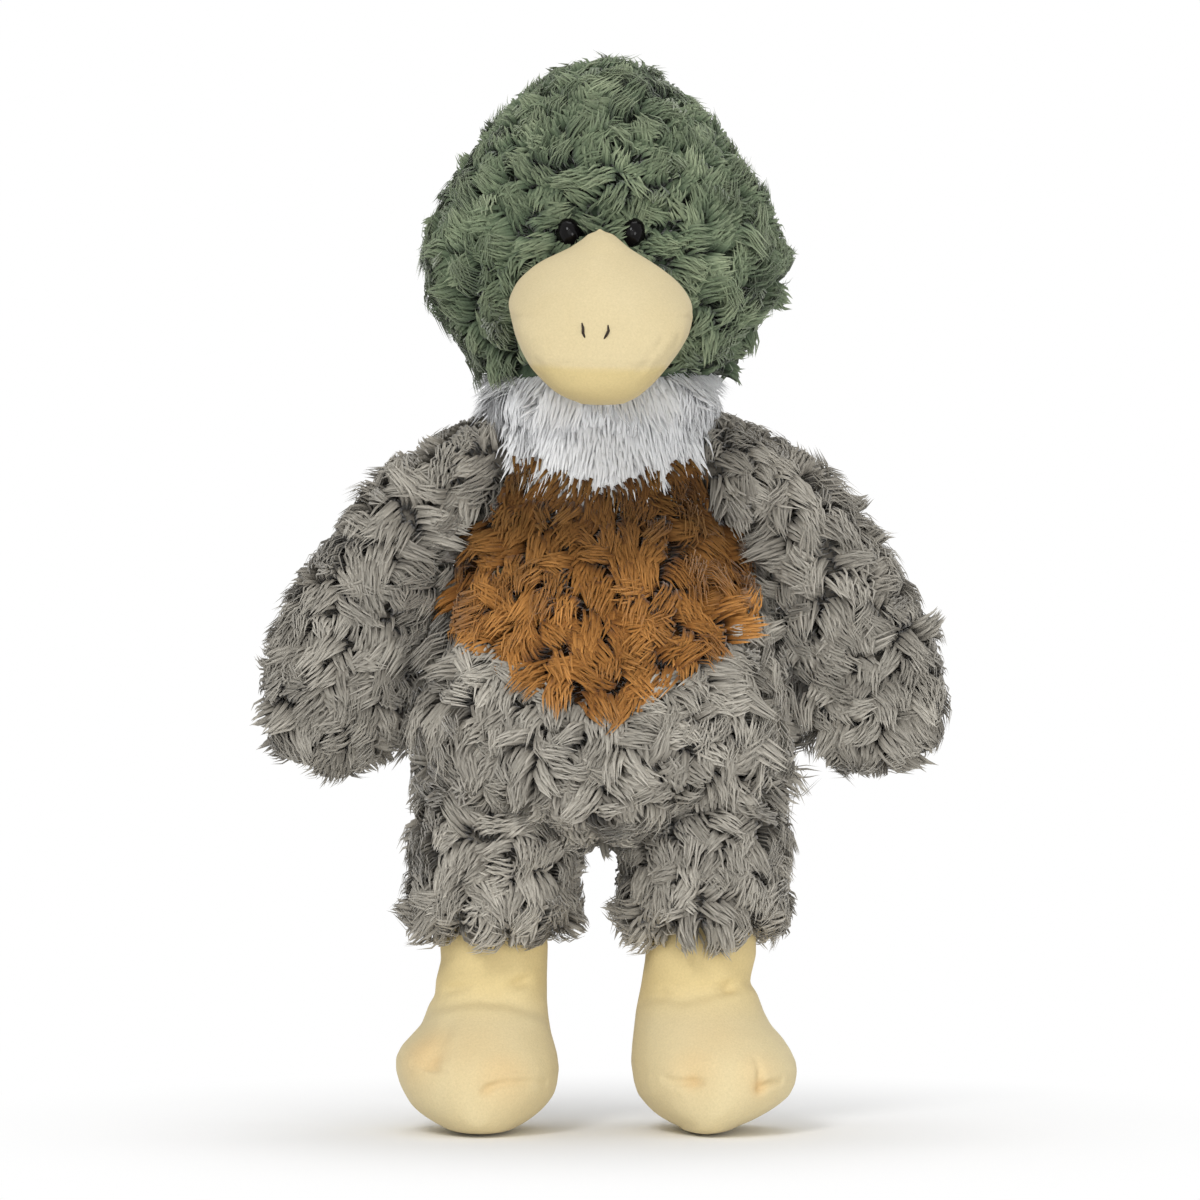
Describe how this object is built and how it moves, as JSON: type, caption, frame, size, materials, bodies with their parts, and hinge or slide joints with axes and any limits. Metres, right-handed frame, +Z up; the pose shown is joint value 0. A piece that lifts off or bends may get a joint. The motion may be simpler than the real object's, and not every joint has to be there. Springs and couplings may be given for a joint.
{
  "type": "plush duck",
  "caption": "Standing plush duck with a curly fur head, collar, chest patch, body, hanging wings and trouser legs, and a velour bill and feet; head, wings, legs and feet move.",
  "frame": {"origin": "on the floor under the middle of the duck's width and depth, with the duck standing on its soles", "axes": "+Z up, the duck faces -Y, its own left side is +X"},
  "size_m": [0.215, 0.1526, 0.331],
  "materials": {
    "taupe_fur": "long curly taupe-grey pile with lighter tips",
    "chest_fur": "long curly golden-brown pile",
    "white_fur": "soft straight white pile",
    "green_fur": "long curly sage-green pile with pale tips",
    "beak_velour": "short-nap cream velour",
    "foot_velour": "short-nap cream velour, slightly warmer at the toes",
    "eye_black": "polished black",
    "washer_white": "plain moulded",
    "thread": "dark brown embroidery thread",
    "stuffing": "white polyester fibre"
  },
  "bodies": {
    "torso": {"body_back_panel": "taupe_fur", "belly_panel": "taupe_fur", "chest_panel": "chest_fur", "neck_collar": "white_fur", "body_fill": "stuffing", "tail": "taupe_fur", "tail_fill": "stuffing"},
    "neck": {"neck_fill": "stuffing"},
    "head": {"head_panel_left": "green_fur", "head_panel_right": "green_fur", "head_back_panel": "green_fur", "head_fill": "stuffing", "beak_upper": "beak_velour", "beak_lower": "beak_velour", "beak_fill": "stuffing", "eye_left": "eye_black", "eye_right": "eye_black", "eye_washer_left": "washer_white", "eye_washer_right": "washer_white", "nostril_left": "thread", "nostril_right": "thread"},
    "shoulder_left": {"shoulder_fill_left": "stuffing"},
    "shoulder_right": {"shoulder_fill_right": "stuffing"},
    "wing_left": {"wing_front_left": "taupe_fur", "wing_back_left": "taupe_fur", "wing_fill_left": "stuffing"},
    "wing_right": {"wing_front_right": "taupe_fur", "wing_back_right": "taupe_fur", "wing_fill_right": "stuffing"},
    "leg_left": {"leg_skin_left": "taupe_fur", "leg_fill_left": "stuffing"},
    "leg_right": {"leg_skin_right": "taupe_fur", "leg_fill_right": "stuffing"},
    "foot_left": {"foot_upper_left": "foot_velour", "foot_sole_left": "foot_velour", "foot_fill_left": "stuffing"},
    "foot_right": {"foot_upper_right": "foot_velour", "foot_sole_right": "foot_velour", "foot_fill_right": "stuffing"}
  },
  "joints": [
    {"name": "head_nod", "type": "hinge", "parent": "torso", "child": "neck", "pos_m": [0, 0.01316, 0.205], "axis": [1, 0, 0], "range_deg": [-20, 20]},
    {"name": "head_turn", "type": "hinge", "parent": "neck", "child": "head", "pos_m": [0, 0.01316, 0.205], "axis": [0, 0, 1], "range_deg": [-60, 60]},
    {"name": "wing_swing_left", "type": "hinge", "parent": "torso", "child": "shoulder_left", "pos_m": [0.038, 0.01316, 0.205], "axis": [-1, 0, 0], "range_deg": [-60, 60]},
    {"name": "wing_lift_left", "type": "hinge", "parent": "shoulder_left", "child": "wing_left", "pos_m": [0.038, 0.01316, 0.205], "axis": [0, -1, 0], "range_deg": [0, 55]},
    {"name": "wing_swing_right", "type": "hinge", "parent": "torso", "child": "shoulder_right", "pos_m": [-0.038, 0.01316, 0.205], "axis": [-1, 0, 0], "range_deg": [-60, 60]},
    {"name": "wing_lift_right", "type": "hinge", "parent": "shoulder_right", "child": "wing_right", "pos_m": [-0.038, 0.01316, 0.205], "axis": [0, 1, 0], "range_deg": [0, 55]},
    {"name": "leg_swing_left", "type": "hinge", "parent": "torso", "child": "leg_left", "pos_m": [0.0309, 0.01316, 0.086], "axis": [-1, 0, 0], "range_deg": [-15, 55]},
    {"name": "leg_swing_right", "type": "hinge", "parent": "torso", "child": "leg_right", "pos_m": [-0.0341, 0.01316, 0.086], "axis": [-1, 0, 0], "range_deg": [-15, 55]},
    {"name": "foot_tilt_left", "type": "hinge", "parent": "leg_left", "child": "foot_left", "pos_m": [0.0309, 0.01316, 0.064], "axis": [-1, 0, 0], "range_deg": [-15, 15]},
    {"name": "foot_tilt_right", "type": "hinge", "parent": "leg_right", "child": "foot_right", "pos_m": [-0.0341, 0.01316, 0.064], "axis": [-1, 0, 0], "range_deg": [-15, 15]}
  ]
}
